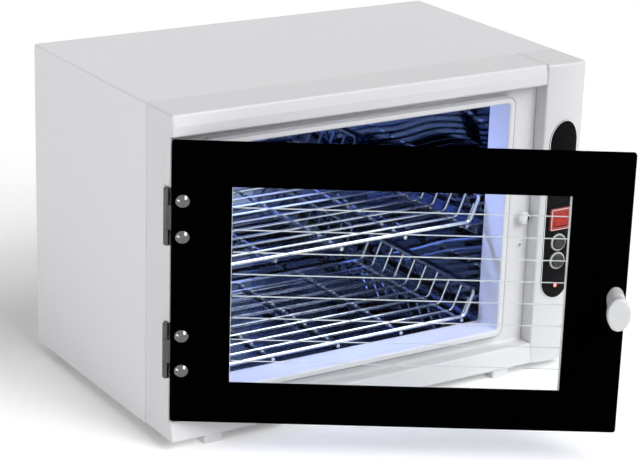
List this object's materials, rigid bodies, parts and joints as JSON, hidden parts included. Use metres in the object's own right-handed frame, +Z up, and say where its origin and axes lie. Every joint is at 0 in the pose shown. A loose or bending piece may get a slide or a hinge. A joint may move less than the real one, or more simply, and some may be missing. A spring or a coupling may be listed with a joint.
{
  "type": "uv sterilizer",
  "caption": "Bench sterilizer cabinet with a hinged black-bordered glass door, two pull-out wire baskets in a mirror-steel chamber, an ultraviolet lamp and a switch column.",
  "frame": {"origin": "on the bench, under the middle of the space that the cabinet takes with its door part open, as it rests", "axes": "+Z up, -Y out of the door's side, +X to the cabinet's right as seen from in front"},
  "size_m": [0.3687, 0.4206, 0.255],
  "materials": {
    "case_paint": "fine powder coat",
    "zinc_steel": "satin",
    "white_moulding": "satin",
    "column_white": "satin",
    "overlay_black": "gloss",
    "switch_frame": "gloss",
    "switch_red": "gloss",
    "button_white": "gloss",
    "button_dark": "satin",
    "lamp_red": "gloss",
    "board_green": "satin",
    "door_pane": "polished",
    "print_black": "fired enamel",
    "bright_metal": "polished",
    "knob_white": "gloss",
    "magnet": "satin",
    "mirror_steel": "polished",
    "basket_wire": "polished",
    "lamp_glass": "polished",
    "holder_white": "satin",
    "aluminium_caps": "satin",
    "reflector": "bright",
    "rubber_black": "matte",
    "ballast_iron": "dipped varnish",
    "black_plastic": "satin",
    "brass_pins": "plated"
  },
  "bodies": {
    "cabinet": {"case_shell": "case_paint", "base_plate": "zinc_steel", "back_panel": "case_paint", "panel_screws": "zinc_steel", "base_screws": "zinc_steel", "rear_foot_left": "rubber_black", "rear_foot_right": "rubber_black", "foot_rivets": "zinc_steel", "front_bezel": "white_moulding", "control_column": "column_white", "control_overlay": "overlay_black", "rocker_frame": "switch_frame", "rocker_pivot": "zinc_steel", "button_ring_lower": "button_white", "button_ring_upper": "button_white", "power_lamp": "lamp_red", "control_board": "board_green", "hinge_case_leaf_upper": "bright_metal", "hinge_pin_upper": "bright_metal", "hinge_case_leaf_lower": "bright_metal", "hinge_pin_lower": "bright_metal", "hinge_case_screws": "bright_metal", "catch_cup": "holder_white", "catch_magnet": "magnet", "chamber_liner": "mirror_steel", "liner_support_left": "zinc_steel", "liner_support_right": "zinc_steel", "basket_rail_left": "mirror_steel", "basket_rail_right": "mirror_steel", "uv_lamp": "lamp_glass", "lamp_cap_left": "aluminium_caps", "lamp_cap_right": "aluminium_caps", "lamp_holder_left": "holder_white", "lamp_holder_right": "holder_white", "lamp_reflector": "reflector", "ballast": "ballast_iron", "starter_socket": "holder_white", "starter": "holder_white", "mains_inlet": "black_plastic", "inlet_pins": "brass_pins"},
    "door": {"door_glass": "door_pane", "door_print": "print_black", "hinge_door_leaf_upper": "bright_metal", "hinge_door_leaf_lower": "bright_metal", "hinge_door_screws": "bright_metal", "hinge_door_nuts": "bright_metal", "door_knob": "knob_white", "knob_screw": "zinc_steel", "strike_plate": "zinc_steel"},
    "power_rocker": {"rocker_switch": "switch_red"},
    "upper_button": {"button_upper": "button_dark"},
    "lower_button": {"button_lower": "button_dark"},
    "basket_above": {"upper_basket_frame": "basket_wire", "upper_basket_hoops": "basket_wire", "upper_basket_ribs": "basket_wire"},
    "basket_below": {"lower_basket_frame": "basket_wire", "lower_basket_hoops": "basket_wire", "lower_basket_ribs": "basket_wire"}
  },
  "joints": [
    {"name": "door_hinge", "type": "hinge", "parent": "cabinet", "child": "door", "pos_m": [-0.1835, -0.01252, 0.13145], "axis": [0, 0, -1], "range_deg": [-31.8, 78]},
    {"name": "rocker_pivot_turn", "type": "hinge", "parent": "cabinet", "child": "power_rocker", "pos_m": [0.164, -0.02092, 0.1283], "axis": [1, 0, 0], "range_deg": [0, 16]},
    {"name": "upper_button_press", "type": "slide", "parent": "cabinet", "child": "upper_button", "axis": [0, 1, 0], "range_m": [0, 0.0012], "stiffness_N_per_m": 400},
    {"name": "lower_button_press", "type": "slide", "parent": "cabinet", "child": "lower_button", "axis": [0, 1, 0], "range_m": [0, 0.0012], "stiffness_N_per_m": 400},
    {"name": "upper_basket_pull", "type": "slide", "parent": "cabinet", "child": "basket_above", "axis": [0, -1, 0], "range_m": [0, 0.025]},
    {"name": "lower_basket_pull", "type": "slide", "parent": "cabinet", "child": "basket_below", "axis": [0, -1, 0], "range_m": [0, 0.025]}
  ]
}
